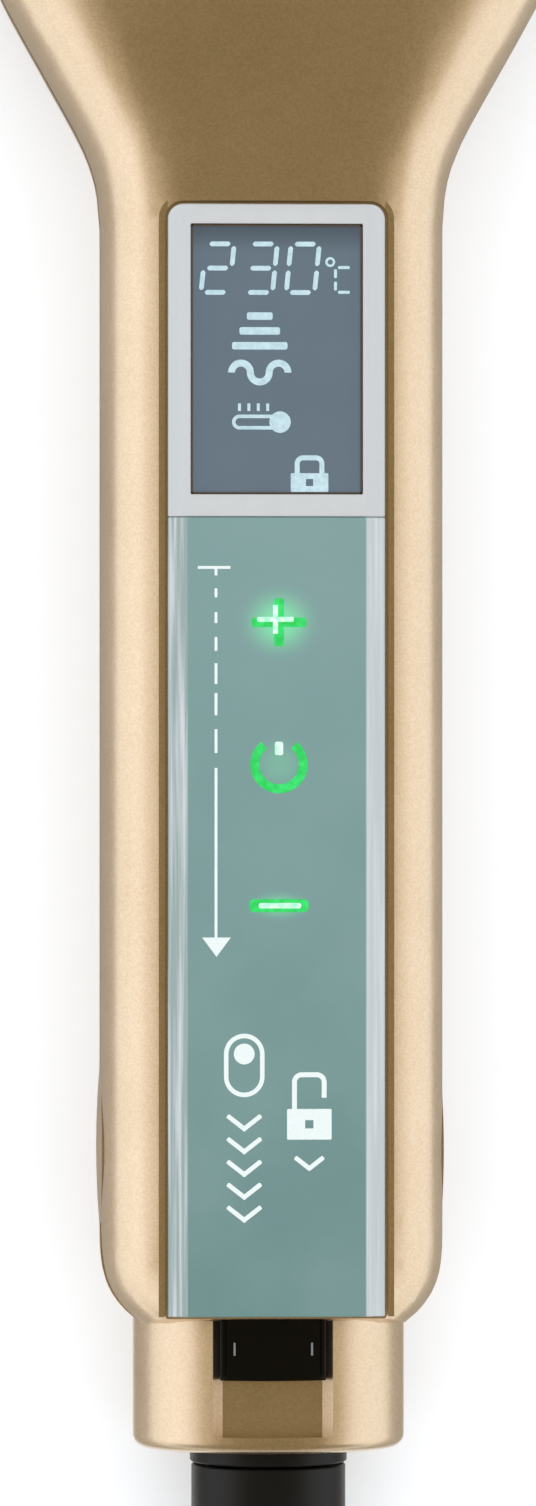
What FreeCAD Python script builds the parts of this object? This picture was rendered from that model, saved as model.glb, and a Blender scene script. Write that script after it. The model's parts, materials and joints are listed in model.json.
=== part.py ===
import FreeCAD, Part
import math
import os
import Sketcher
from FreeCAD import Rotation, Vector

# A three-barrel waving iron that lies on its lower arm. X runs across the tool, +Y towards the
# head's tip and +Z up. The origin is at the middle of the length, on the plane that it rests on.
# Lengths along the tool are counted from the hinge axis, and heights from the parting plane
# between the two arms.

CELLS = {
    # places of the hinge axis and the parting plane in the part's own frame
    "hinge_y": -91.0, "parting_z": 17.0, "hinge_drop": 3.0,
    # casing: half widths, heights from the parting plane, wall and section shape
    "handle_half": 17.5, "head_half": 31.5, "handle_top": 13.9, "head_top": 17.5,
    "base_depth": 17.6, "wall": 2.0, "roof": 3.1, "base_wall": 2.6,
    "top_power": 3.2, "base_power": 3.4,
    # casing along the tool
    "tail_reach": 17.4, "tail_round": 10.4, "tail_inset": 3.6, "tail_power": 3.8,
    "flare_start": 94.3, "flare_in_radius": 20.0, "flare_out_radius": 40.0, "flare_angle": 29.3,
    "casing_front": 226.0, "nose_length": 6.0,
    # rims of the two halves
    "rim_gap": 0.75, "rim_back": 3.0, "tail_rim": 7.0, "tail_low_rim": 1.2,
    "jaw_start": 118.0, "jaw_full": 134.0, "jaw_top_rim": 3.0, "jaw_low_rim": 5.0,
    # panel in the handle's top
    "panel_half": 11.0, "panel_flat": 9.0, "panel_top": 13.6, "panel_edge": 12.75,
    "seat_top": 11.9, "panel_back": 16.4, "panel_split": 64.3, "panel_front": 95.9,
    "panel_gap": 0.3, "lip_width": 0.6, "lip_top": 12.85, "panel_corner": 1.5,
    "rake_low": 8.0, "rake_reach": 16.5,
    "window_half": 8.7, "window_back": 66.6, "window_front": 93.9, "glass_top": 12.9,
    "floor_half": 8.6, "floor_back": 6.0, "floor_front": 93.0,
    # neck behind the handle
    "neck_half": 14.0, "neck_rise": 11.2, "neck_drop": 4.9, "neck_end": 31.0, "neck_start": 9.5,
    "neck_in_half": 10.2, "neck_in_rise": 8.1, "neck_wall": 2.0, "neck_round": 1.4,
    "spigot_half": 11.6, "spigot_rise": 9.8,
    "slot_half": 6.2, "slot_low_half": 5.1, "slot_end": 29.25, "slot_floor": 4.1,
    "slot_rim": 5.25, "slider_half": 5.4, "slider_low_half": 4.85, "slider_front": 13.0,
    "slider_back": 23.45, "slider_gap": 0.1,
    "lug_half": 1.3, "lug_front": 14.0, "lug_back": 16.5, "lug_low": 2.0, "lug_high": 5.0,
    "lock_travel": 5.5, "slit_room": 0.4,
    "detent_half": 2.5, "detent_front": 12.0, "detent_back": 26.5, "detent_low": 1.2,
    "detent_high": 1.6,
    # swivel at the end of the neck
    "socket_radius": 7.8, "socket_rim": 8.1, "socket_end": 32.5, "sleeve_radius": 7.95,
    "sleeve_start": 32.75, "sleeve_end": 50.0, "journal_radius": 5.0, "journal_start": 15.0, "swivel_bore": 3.8,
    "running_gap": 0.05, "socket_depth": 2.0, "socket_step": 0.6, "edge_break": 0.15,
    "ring_width": 2.0, "ring_rise": 0.8, "brush_start": 0.9, "brush_end": 3.4, "brush_half": 1.0,
    # hinge
    "cap_radius": 8.2, "cap_reach": 17.8, "cap_dome": 96.0, "cap_inner": 14.9, "cap_gap": 0.25,
    "pin_radius": 2.5, "bush_radius": 3.6, "ear_outer": 14.6, "ear_split": 11.4,
    "ear_inner": 8.0, "block_half": 5.0, "block_low": 15.0, "block_floor": 12.6,
    "block_high": 1.5, "bracket_half": 5.5, "bracket_low": 7.5, "bracket_roof": 9.6,
    "bracket_top": 12.0, "ear_gap": 0.2,
    "spring_y": 13.0, "spring_radius": 3.6, "spring_wire": 0.5, "spring_pitch": 2.6,
    "spring_low": 14.0, "spring_high": 9.2, "seat_half": 5.0, "seat_reach": 17.5,
    "seat_low": 9.8, "seat_high": 10.8,
    # barrels and what carries them
    "barrel_radius": 8.0, "barrel_bore": 6.6, "barrel_pitch": 18.5, "barrel_lift": 7.13,
    "barrel_flat": 10.0, "barrel_start": 131.0, "barrel_end": 224.0, "barrel_room": 0.5,
    "frame_start": 128.0, "frame_half": 29.2, "frame_back": 12.0,
    "barrel_skin": 1.4, "heater_half": 5.0, "heater_thick": 2.0, "heater_length": 80.0,
    "lead_radius": 0.7, "lead_gap": 0.2, "lead_pair": 2.2,
    # boards and fasteners
    "board_thick": 1.6, "board_half": 12.4, "board_start": 27.0, "board_end": 92.0,
    "board_depth": 11.4, "control_half": 10.6, "control_top": 8.8,
    "cover_start": 19.0, "cover_end": 118.0, "cover_inner": 1.2, "cover_outer": 2.4,
    "screw_radius": 1.25, "screw_head": 2.4, "head_room": 0.15, "head_thick": 1.1,
    "head_depth": 16.2, "post_radius": 2.8,
}

# tools reach this far from the middle, past everything that they cut
FAR = 60.0

doc = FreeCAD.newDocument("WavingIron")
sheet = doc.addObject("Spreadsheet::Sheet", "Sizes")
for row, (alias, number) in enumerate(CELLS.items(), start=1):
    sheet.set("A%d" % row, alias)
    sheet.set("B%d" % row, str(number))
    sheet.setAlias("B%d" % row, alias)
doc.recompute()


class Size:
    """A length that knows both its number and its spreadsheet expression."""

    def __init__(self, number, text):
        self.number = number
        self.text = text

    def join(self, other, sign):
        other = other if isinstance(other, Size) else Size(float(other), "%g" % other)
        text = "(%s %s (%s))" % (self.text, sign, other.text)
        a, b = self.number, other.number
        result = {"+": a + b, "-": a - b, "*": a * b}[sign]
        return Size(result, text)

    def __add__(self, other):
        return self.join(other, "+")

    def __sub__(self, other):
        return self.join(other, "-")

    def __mul__(self, other):
        return self.join(other, "*")

    def __neg__(self):
        return self.join(-1, "*")


def cell(alias):
    return Size(float(sheet.get(alias)), "Sizes." + alias)


def const(number):
    return Size(float(number), "%g" % number)


def as_size(value):
    return value if isinstance(value, Size) else const(value)


def along(value):
    """Place along the tool, counted from the hinge axis."""
    return cell("hinge_y") + value


def level(value):
    """Height counted from the parting plane."""
    return cell("parting_z") + value


def bind(item, **sizes):
    for name, value in sizes.items():
        item.setExpression(name.replace("__", "."), as_size(value).text)


def place(item, x=0, y=0, z=0):
    bind(item, Placement__Base__x=x, Placement__Base__y=y, Placement__Base__z=z)


def box(name, x0, x1, y0, y1, z0, z1):
    """Part::Box between two corners, each a Size or a number."""
    x0, x1, y0, y1, z0, z1 = map(as_size, (x0, x1, y0, y1, z0, z1))
    item = doc.addObject("Part::Box", name)
    bind(item, Length=x1 - x0, Width=y1 - y0, Height=z1 - z0)
    place(item, x0, y0, z0)
    return item


AXIS_TURN = {"x": Rotation(Vector(0, 1, 0), 90), "y": Rotation(Vector(1, 0, 0), -90),
             "z": Rotation()}


def rod(name, axis, radius, length, x, y, z):
    """Part::Cylinder that starts at a point and runs along +X, +Y or +Z."""
    item = doc.addObject("Part::Cylinder", name)
    item.Placement = FreeCAD.Placement(Vector(), AXIS_TURN[axis])
    bind(item, Radius=radius, Height=length)
    place(item, x, y, z)
    return item


def cut(name, base, tool):
    item = doc.addObject("Part::Cut", name)
    item.Base, item.Tool = base, tool
    return item


def cut_all(name, base, tools):
    """Cut several tools from a base, one after the other."""
    for number, tool in enumerate(tools[:-1], start=1):
        base = cut("%s_step_%d" % (name, number), base, tool)
    return cut(name, base, tools[-1])


def common(name, base, tool):
    item = doc.addObject("Part::Common", name)
    item.Base, item.Tool = base, tool
    return item


def fuse(name, pieces):
    item = doc.addObject("Part::MultiFuse", name)
    item.Shapes = pieces
    return item


def group(name, pieces):
    item = doc.addObject("Part::Compound", name)
    item.Links = pieces
    return item


def origin_plane(body, role):
    return next(item for item in body.Origin.OriginFeatures if item.Role == role)


def outline(body, name, role, lift, corners):
    """Closed sketch of straight lines; every corner is bound to the sheet."""
    sketch = body.newObject("Sketcher::SketchObject", name)
    sketch.AttachmentSupport = [(origin_plane(body, role), "")]
    sketch.MapMode = "FlatFace"
    sketch.setExpression("AttachmentOffset.Base.z", as_size(lift).text)
    corners = [(as_size(u), as_size(v)) for u, v in corners]
    spots = [Vector(u.number, v.number, 0) for u, v in corners]
    count = len(corners)
    for index in range(count):
        line = Part.LineSegment(spots[index], spots[(index + 1) % count])
        sketch.addGeometry(line, False)
    for index in range(count):
        sketch.addConstraint(Sketcher.Constraint("Coincident", index, 2, (index + 1) % count, 1))
    for index, corner in enumerate(corners):
        for kind, value in zip(("DistanceX", "DistanceY"), corner):
            number = sketch.addConstraint(
                Sketcher.Constraint(kind, -1, 1, index, 1, value.number))
            sketch.setExpression("Constraints[%d]" % number, value.text)
    return sketch


def slab(name, x0, x1, y0, y1, z0, z1):
    """PartDesign body: a padded rectangle on the XY plane."""
    body = doc.addObject("PartDesign::Body", name)
    z0, z1 = as_size(z0), as_size(z1)
    sketch = outline(body, name + "_plan", "XY_Plane", z0,
                     [(x0, y0), (x1, y0), (x1, y1), (x0, y1)])
    pad = body.newObject("PartDesign::Pad", name + "_pad")
    pad.Profile = sketch
    bind(pad, Length=z1 - z0)
    return body


def side_prism(name, half, corners):
    """PartDesign body: a YZ outline padded to both sides of the tool's middle plane."""
    body = doc.addObject("PartDesign::Body", name)
    sketch = outline(body, name + "_side", "YZ_Plane", 0, corners)
    pad = body.newObject("PartDesign::Pad", name + "_pad")
    pad.Profile = sketch
    pad.Midplane = True
    bind(pad, Length=as_size(half) * 2)
    return body


def end_prism(name, y0, y1, corners):
    """PartDesign body: an XZ outline padded along the tool from y0 to y1."""
    body = doc.addObject("PartDesign::Body", name)
    sketch = outline(body, name + "_end", "XZ_Plane", -y1, corners)
    pad = body.newObject("PartDesign::Pad", name + "_pad")
    pad.Profile = sketch
    bind(pad, Length=y1 - y0)
    return body


def turned(name, height, corners):
    """PartDesign body: a profile of (place along the tool, radius) turned about a Y axis."""
    body = doc.addObject("PartDesign::Body", name)
    sketch = outline(body, name + "_profile", "YZ_Plane", 0, corners)
    turn = body.newObject("PartDesign::Revolution", name + "_turn")
    turn.Profile = sketch
    turn.ReferenceAxis = (sketch, ["H_Axis"])
    turn.Angle = 360
    place(body, z=height)
    return body


def solid(name, shape):
    """Part::Feature for a shape that no sketch or primitive gives."""
    item = doc.addObject("Part::Feature", name)
    item.Shape = shape
    return item


# ---- casing: superellipse sections whose half width and heights vary along the tool ----

def num(alias):
    return cell(alias).number


def plan_half(y):
    """Half width of the casing at y: round tail corners, straight handle, flare, head."""
    handle, head = num("handle_half"), num("head_half")
    angle = math.radians(num("flare_angle"))
    r_in, r_out = num("flare_in_radius"), num("flare_out_radius")
    tail = num("tail_round") - num("tail_reach") - y
    if tail > 0:
        return handle - num("tail_inset") * (tail / num("tail_round")) ** num("tail_power")
    run = y - num("flare_start")
    if run <= 0:
        return handle
    if run <= r_in * math.sin(angle):
        return handle + r_in - math.sqrt(r_in ** 2 - run ** 2)
    left = r_in * (1 - math.cos(angle))
    right = r_out * (1 - math.cos(angle))
    straight = (head - handle - left - right) / math.tan(angle)
    run -= r_in * math.sin(angle)
    if run <= straight:
        return handle + left + run * math.tan(angle)
    rest = max(r_out * math.sin(angle) - (run - straight), 0)
    return head - r_out + math.sqrt(r_out ** 2 - rest ** 2)


def ramp(y, low, high):
    share = min(max((y - low) / (high - low), 0), 1)
    return share * share * (3 - 2 * share)


def crown(y):
    rise = ramp(y, num("flare_start") + 2, num("jaw_full"))
    return num("handle_top") + (num("head_top") - num("handle_top")) * rise


def roof_inside(y):
    thin = ramp(y, num("flare_start") + 3, num("jaw_full"))
    raised = ramp(-y, num("tail_reach") - 4, num("tail_reach"))
    roof = num("roof") + (num("wall") - num("roof")) * thin - 0.6 * raised
    return crown(y) - roof


def rim_point(angle, y, half, top, depth):
    """Point of the superellipse in one polar direction."""
    across, up = math.cos(angle), math.sin(angle)
    high, power = (top, num("top_power")) if up >= 0 else (depth, num("base_power"))
    reach = (abs(across / half) ** power + abs(up / high) ** power) ** (-1 / power)
    return Vector(reach * across, num("hinge_y") + y, num("parting_z") + reach * up)


def round_section(y, half, top, depth):
    """Closed superellipse at one station."""
    steps = 48
    points = [rim_point(2 * math.pi * step / steps, y, half, top, depth)
              for step in range(steps)]
    curve = Part.BSplineCurve()
    curve.interpolate(points, PeriodicFlag=True)
    return Part.Wire(curve.toShape())


def based_section(y, half, top, depth):
    """Superellipse at one station with its bottom cut flat on the resting plane."""
    flat, power = num("parting_z"), num("base_power")
    flat_half = half * (1 - (flat / depth) ** power) ** (1 / power)
    start = math.atan2(-flat, flat_half)
    steps = 44
    points = [rim_point(start + (math.pi - 2 * start) * step / steps, y, half, top, depth)
              for step in range(steps + 1)]
    curve = Part.BSplineCurve()
    curve.interpolate(points)
    return Part.Wire([curve.toShape(), Part.LineSegment(points[-1], points[0]).toShape()])


def casing_spans():
    """Stations of the round tail, the straight handle, the flare and the straight head."""
    tail, rounding = num("tail_reach"), num("tail_round")
    start, full = num("flare_start"), num("jaw_full") + 1
    tail_front = rounding - tail
    tail_steps, flare_steps = 6, 12
    return [
        [-tail + rounding * step / tail_steps for step in range(tail_steps + 1)],
        [tail_front, start],
        [start + (full - start) * step / flare_steps for step in range(flare_steps + 1)],
        [full, num("casing_front")],
    ]


def span_solid(spans, shape_at):
    """Solids over neighbouring spans, joined: a span of two equal stations is straight."""
    pieces = []
    for span in spans:
        if len(span) == 2:
            face = Part.Face(shape_at(span[0]))
            pieces.append(face.extrude(Vector(0, span[1] - span[0], 0)))
        else:
            pieces.append(Part.makeLoft([shape_at(y) for y in span], True, False))
    return pieces[0].multiFuse(pieces[1:]).Solids[0]


def outer_section(y):
    return based_section(y, plan_half(y), crown(y), num("base_depth"))


def inner_section(y):
    near = min(max(y, -num("tail_reach")), num("casing_front"))
    depth = num("base_depth") - num("base_wall")
    return round_section(y, plan_half(near) - num("wall"), roof_inside(near), depth)


outer_spans = casing_spans()
casing_tail, casing_nose = outer_spans[0][0], outer_spans[-1][-1]
# the hollow runs out through both ends, which leaves them open
overrun = 1.0
inner_spans = ([[casing_tail - overrun, casing_tail]] + outer_spans
               + [[casing_nose, casing_nose + overrun]])

casing_outer = solid("casing_outer", span_solid(outer_spans, outer_section))
casing_inner = solid("casing_inner", span_solid(inner_spans, inner_section))
casing_shell = cut("casing_shell", casing_outer, casing_inner)

front_y = along(cell("casing_front"))
tail_y = along(-cell("tail_reach"))
beyond = 20.0
upper_region = side_prism("upper_region", FAR, [
    (tail_y - beyond, level(cell("tail_rim"))),
    (tail_y, level(cell("tail_rim"))),
    (along(-cell("rim_back")), level(cell("rim_gap"))),
    (along(cell("jaw_start")), level(cell("rim_gap"))),
    (along(cell("jaw_full")), level(cell("jaw_top_rim"))),
    (front_y + beyond, level(cell("jaw_top_rim"))),
    (front_y + beyond, FAR),
    (tail_y - beyond, FAR),
])
lower_region = side_prism("lower_region", FAR, [
    (tail_y - beyond, level(cell("tail_low_rim"))),
    (tail_y, level(cell("tail_low_rim"))),
    (along(-cell("rim_back")), level(-cell("rim_gap"))),
    (along(cell("jaw_start")), level(-cell("rim_gap"))),
    (along(cell("jaw_full")), level(-cell("jaw_low_rim"))),
    (front_y + beyond, level(-cell("jaw_low_rim"))),
    (front_y + beyond, -FAR),
    (tail_y - beyond, -FAR),
])

hinge_y = along(0)
hinge_z = level(-cell("hinge_drop"))
neck_z = level(-cell("neck_drop"))


# ---- neck: elliptical tube behind the handle, with the lock's slot in its top ----

def ellipse_prism(name, half, rise, y0, y1):
    ring = doc.addObject("Part::Ellipse", name + "_outline")
    ring.Placement = FreeCAD.Placement(Vector(), Rotation(Vector(1, 0, 0), 90))
    bind(ring, MajorRadius=half, MinorRadius=rise)
    place(ring, 0, y0, neck_z)
    prism = doc.addObject("Part::Extrusion", name)
    prism.Base = ring
    prism.DirMode = "Custom"
    prism.Dir = Vector(0, 1, 0)
    prism.Solid = True
    bind(prism, LengthFwd=y1 - y0)
    return prism


neck_back = along(-cell("neck_end"))
neck_front = along(-cell("neck_start"))
neck_block = ellipse_prism("neck_block", cell("neck_half"), cell("neck_rise"),
                           neck_back, tail_y)
neck_spigot = ellipse_prism("neck_spigot", cell("spigot_half"), cell("spigot_rise"),
                            tail_y - 1, neck_front)
doc.recompute()
neck_rounded = doc.addObject("Part::Fillet", "neck_rounded")
neck_rounded.Base = neck_block
back_edges = [number for number, edge in enumerate(neck_block.Shape.Edges, start=1)
              if abs(edge.BoundBox.YMax - neck_back.number) < 0.01]
neck_rounded.Edges = [(number, num("neck_round"), num("neck_round")) for number in back_edges]
neck_solid = fuse("neck_solid", [neck_rounded, neck_spigot])
neck_hollow = ellipse_prism("neck_hollow", cell("neck_in_half"), cell("neck_in_rise"),
                            neck_back + cell("neck_wall"), neck_front + 1)
slot_back = along(-cell("slot_end"))


def flared_prism(name, low_half, high_half, floor, y0, y1):
    """Block whose sides lean out from its floor up to the slot's rim and then stand upright."""
    rim = level(cell("slot_rim"))
    return end_prism(name, y0, y1, [
        (-low_half, floor), (low_half, floor), (high_half, rim), (high_half, level(20)),
        (-high_half, level(20)), (-high_half, rim)])


slot_tool = flared_prism("slot_tool", cell("slot_low_half"), cell("slot_half"),
                         level(cell("slot_floor")), slot_back, neck_front + 1)
slit_room = cell("slit_room")
slit_half = cell("lug_half") + slit_room
slit_tool = box("slit_tool", -slit_half, slit_half,
                along(-(cell("lug_back") + cell("lock_travel") + slit_room)),
                along(slit_room - cell("lug_front")), level(0), FAR)
socket_hole = rod("socket_hole", "y", cell("socket_radius"), 4, 0, neck_back - 1, neck_z)
neck_shell = cut_all("neck_shell", neck_solid,
                     [neck_hollow, slot_tool, slit_tool, socket_hole])

slider_y0, slider_y1 = along(-cell("slider_back")), along(-cell("slider_front"))
slider_prism = ellipse_prism("slider_prism", cell("neck_half"), cell("neck_rise"),
                             slider_y0, slider_y1)
slider_block = flared_prism("slider_block", cell("slider_low_half"), cell("slider_half"),
                            level(cell("slot_floor") + cell("slider_gap")), slider_y0, slider_y1)
slider_top = common("slider_top", slider_prism, slider_block)
slider_lug = box("slider_lug", -cell("lug_half"), cell("lug_half"), along(-cell("lug_back")),
                 along(-cell("lug_front")), level(cell("lug_low")), level(cell("lug_high")))
lock_slider = fuse("lock_slider", [slider_top, slider_lug])
detent_half = cell("detent_half")
lock_detent_spring = slab("lock_detent_spring", -detent_half, detent_half,
                          along(-cell("detent_back")), along(-cell("detent_front")),
                          level(cell("detent_low")), level(cell("detent_high")))

# ---- swivel: fixed socket, turning cap with journal, retainer, slip rings and brushes ----

journal = cell("journal_radius")
socket_bore = journal + cell("running_gap")
socket_lip = neck_back + cell("neck_wall")
socket_front = socket_lip + cell("socket_depth")
edge_break = cell("edge_break")
swivel_socket = turned("swivel_socket", neck_z, [
    (along(-cell("socket_end")), socket_bore),
    (along(-cell("socket_end")), cell("socket_rim") - edge_break),
    (along(-cell("socket_end")) + edge_break, cell("socket_rim")),
    (neck_back, cell("socket_rim")),
    (neck_back, cell("socket_radius")),
    (socket_lip, cell("socket_radius")),
    (socket_lip, cell("socket_radius") - cell("socket_step")),
    (socket_front, cell("socket_radius") - cell("socket_step")),
    (socket_front, socket_bore),
])
sleeve, sleeve_y = cell("sleeve_radius"), along(-cell("sleeve_start"))
sleeve_back = along(-cell("sleeve_end"))
journal_front = along(-cell("journal_start"))
swivel_cap = turned("swivel_cap", neck_z, [
    (journal_front, cell("swivel_bore")),
    (journal_front, journal),
    (sleeve_y, journal),
    (sleeve_y, sleeve - edge_break),
    (sleeve_y - edge_break, sleeve),
    (sleeve_back + 6.5, sleeve),
    (sleeve_back + 3.2, sleeve - 0.5),
    (sleeve_back + 1.0, sleeve - 1.4),
    (sleeve_back, sleeve - 2.6),
    (sleeve_back, cell("swivel_bore") + 0.8),
    (sleeve_back + 0.8, cell("swivel_bore")),
])
retainer_y = socket_front + 0.1
swivel_retainer = turned("swivel_retainer", neck_z, [
    (retainer_y, journal), (retainer_y, journal + 0.9),
    (retainer_y + 0.8, journal + 0.9), (retainer_y + 0.8, journal)])
inner, outer = journal + cell("brush_start"), journal + cell("brush_end")
rings = []
brushes = []
for name, ring_back, low, high in (("left", along(-22.5), -outer, -inner),
                                   ("right", along(-18.5), inner, outer)):
    ring_front = ring_back + cell("ring_width")
    ring_outside = journal + cell("ring_rise")
    rings.append(turned("slip_ring_" + name, neck_z, [
        (ring_back, journal), (ring_back, ring_outside),
        (ring_front, ring_outside), (ring_front, journal)]))
    brushes.append(slab("brush_" + name, low, high, ring_back, ring_front,
                        neck_z - cell("brush_half"), neck_z + cell("brush_half")))
slip_rings = group("slip_rings", rings)
contact_brushes = group("contact_brushes", brushes)

# ---- hinge: pin across the tool, block in the lower arm, bracket in the upper arm ----

cap_radius = cell("cap_radius")
cap_hole = rod("cap_hole", "x", cap_radius, FAR * 2, -FAR, hinge_y, hinge_z)
cap_sweep = rod("cap_sweep", "x", cap_radius + cell("cap_gap"), FAR * 2, -FAR, hinge_y, hinge_z)
cap_window = box("cap_window", -cell("cap_inner"), cell("cap_inner"), along(-FAR), along(FAR),
                 -FAR, FAR)
lower_cap_tool = cut("lower_cap_tool", cap_hole, cap_window)
upper_cap_tool = cut("upper_cap_tool", cap_sweep, cap_window)


def hinge_cap(name, side):
    """Shallow dome on a disc, let into the side of the casing."""
    thick = 6.0
    inner_face = cell("cap_inner")
    disc = rod(name + "_disc", "x", cap_radius, thick,
               inner_face if side > 0 else -inner_face - thick, hinge_y, hinge_z)
    ball = doc.addObject("Part::Sphere", name + "_ball")
    bind(ball, Radius=cell("cap_dome"))
    centre = cell("cap_reach") - cell("cap_dome")
    place(ball, centre if side > 0 else -centre, hinge_y, hinge_z)
    return common(name, disc, ball)


hinge_cap_left = hinge_cap("hinge_cap_left", -1)
hinge_cap_right = hinge_cap("hinge_cap_right", 1)
pin_half = cell("cap_inner")
hinge_pin = rod("hinge_pin", "x", cell("pin_radius"), pin_half * 2, -pin_half, hinge_y, hinge_z)

ear_outer, ear_split, ear_inner = cell("ear_outer"), cell("ear_split"), cell("ear_inner")
block_low, block_floor = level(-cell("block_low")), level(-cell("block_floor"))
block_high = level(cell("block_high"))
block_solid = end_prism("hinge_block_solid", along(-cell("block_half")),
                        along(cell("block_half")), [
    (-ear_outer, block_low), (ear_outer, block_low), (ear_outer, block_high),
    (ear_split, block_high), (ear_split, block_floor), (-ear_split, block_floor),
    (-ear_split, block_high), (-ear_outer, block_high)])
block_bore = rod("hinge_block_bore", "x", cell("pin_radius"), FAR * 2, -FAR, hinge_y, hinge_z)
block_bored = cut("hinge_block_bored", block_solid, block_bore)
hinge_block = common("hinge_block", block_bored, casing_inner)

bracket_out = ear_split - cell("ear_gap")
bracket_half = cell("bracket_half")
bracket_low, bracket_roof = level(-cell("bracket_low")), level(cell("bracket_roof"))
bracket_top = level(cell("bracket_top"))
bracket_solid = end_prism("hinge_bracket_solid", along(-bracket_half), along(bracket_half), [
    (-bracket_out, bracket_low), (-ear_inner, bracket_low), (-ear_inner, bracket_roof),
    (ear_inner, bracket_roof), (ear_inner, bracket_low), (bracket_out, bracket_low),
    (bracket_out, bracket_top), (-bracket_out, bracket_top)])
spring_seat = box("spring_seat", -cell("seat_half"), cell("seat_half"),
                  along(bracket_half - 0.5), along(cell("seat_reach")),
                  level(cell("seat_low")), level(cell("seat_high")))
bracket_whole = fuse("hinge_bracket_whole", [bracket_solid, spring_seat])
bracket_bore = rod("hinge_bracket_bore", "x", cell("bush_radius"), FAR * 2, -FAR,
                   hinge_y, hinge_z)
bracket_bored = cut("hinge_bracket_bored", bracket_whole, bracket_bore)
hinge_bracket = common("hinge_bracket", bracket_bored, casing_inner)


def bush(name, x0, x1):
    body = rod(name + "_body", "x", cell("bush_radius"), x1 - x0, x0, hinge_y, hinge_z)
    bore = rod(name + "_bore", "x", cell("pin_radius") + cell("running_gap"), FAR * 2, -FAR,
               hinge_y, hinge_z)
    return cut(name, body, bore)


hinge_bushes = group("hinge_bushes", [bush("bush_left", -bracket_out, -ear_inner),
                                      bush("bush_right", ear_inner, bracket_out)])

spring_radius, spring_y = cell("spring_radius"), along(cell("spring_y"))
spring_low, spring_high = level(-cell("spring_low")), level(cell("spring_high"))
coil = doc.addObject("Part::Helix", "spring_path")
bind(coil, Pitch=cell("spring_pitch"), Radius=spring_radius, Height=spring_high - spring_low)
place(coil, 0, spring_y, spring_low)
wire_end = doc.addObject("Part::Circle", "spring_wire")
bind(wire_end, Radius=cell("spring_wire"))
wire_end.Placement = FreeCAD.Placement(Vector(), Rotation(Vector(1, 0, 0), 90))
place(wire_end, spring_radius, spring_y, spring_low)
opening_spring = doc.addObject("Part::Sweep", "opening_spring")
opening_spring.Sections = [wire_end]
opening_spring.Spine = coil
opening_spring.Solid = True
opening_spring.Frenet = True

# ---- screw places, counted from the hinge axis, and holes through the lower casing ----

HANDLE_SCREWS = [(side * 8.0, y) for side in (-1, 1) for y in (22.0, 99.0)]
HEAD_SCREWS = [(side * 9.25, y) for side in (-1, 1) for y in (142.0, 213.0)]
SHOULDER_SCREWS = [(side * 23.5, y) for side in (-1, 1) for y in (140.0, 214.0)]
screw, head = cell("screw_radius"), cell("screw_head")
head_room, head_thick, post_radius = cell("head_room"), cell("head_thick"), cell("post_radius")


def posts(name, spots, radius, low, high):
    """Upright cylinders at several places, as a list of Part::Cylinder."""
    return [rod("%s_%d" % (name, number), "z", radius, high - low, x, along(y), low)
            for number, (x, y) in enumerate(spots, start=1)]


def screws(name, spots, head_low, head_high, tip):
    """Cap screws with their heads between two heights and their tips at a third."""
    drive_radius, drive_depth = 1.0, 0.7
    pieces = []
    for number, (x, y) in enumerate(spots, start=1):
        top = rod("%s_head_%d" % (name, number), "z", head, head_high - head_low,
                  x, along(y), head_low)
        shank = rod("%s_shank_%d" % (name, number), "z", screw, tip - head_high,
                    x, along(y), head_high)
        socket = rod("%s_drive_%d" % (name, number), "z", drive_radius, drive_depth,
                     x, along(y), head_low)
        whole = fuse("%s_whole_%d" % (name, number), [top, shank])
        pieces.append(cut("%s_screw_%d" % (name, number), whole, socket))
    return pieces


base_head = level(-cell("head_depth"))
head_top = base_head + head_thick
handle_tip, head_tip = level(-6), level(-10.6)
lower_spots = HANDLE_SCREWS + HEAD_SCREWS
lower_screws = group("lower_screws",
                     screws("handle", HANDLE_SCREWS, base_head, head_top, handle_tip)
                     + screws("head", HEAD_SCREWS, base_head, head_top, head_tip))
head_wells = posts("head_well", lower_spots, head + head_room, const(-1), head_top)
shank_holes = posts("shank_hole", lower_spots, screw, base_head, level(-8))

lower_half = common("lower_half", casing_shell, lower_region)
lower_housing = cut_all("lower_housing", lower_half,
                        [lower_cap_tool, fuse("screw_wells", head_wells),
                         fuse("screw_shanks", shank_holes)])


def rounded_front(name, base, front, radius):
    """Rounds the two upright edges at a block's front corners."""
    doc.recompute()
    item = doc.addObject("Part::Fillet", name)
    item.Base = base
    corners = []
    for number, edge in enumerate(base.Shape.Edges, start=1):
        bounds = edge.BoundBox
        upright = bounds.XLength < 0.01 and bounds.YLength < 0.01
        if upright and abs(bounds.YMax - front.number) < 0.01:
            corners.append((number, radius.number, radius.number))
    item.Edges = corners
    return item


# ---- upper casing: half shell with the panel's seat and the raised lip round it ----

seat_half = cell("panel_half") + cell("panel_gap")
seat_back = tail_y - beyond
seat_front = along(cell("panel_front")) + cell("panel_gap")
lip = cell("lip_width")
upper_half = common("upper_half", casing_shell, upper_region)
seat_corner = cell("panel_corner") + cell("panel_gap")
lip_block = box("lip_block", -seat_half - lip, seat_half + lip, along(-cell("panel_back")),
                seat_front + lip, level(cell("seat_top") + cell("panel_gap")),
                level(cell("lip_top")))
lip_bar = rounded_front("lip_bar", lip_block, seat_front + lip, seat_corner + lip)
seat_block = box("seat_block", -seat_half, seat_half, seat_back, seat_front,
                 level(cell("seat_top")), FAR)
seat_tool = rounded_front("seat_tool", seat_block, seat_front, seat_corner)
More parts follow.
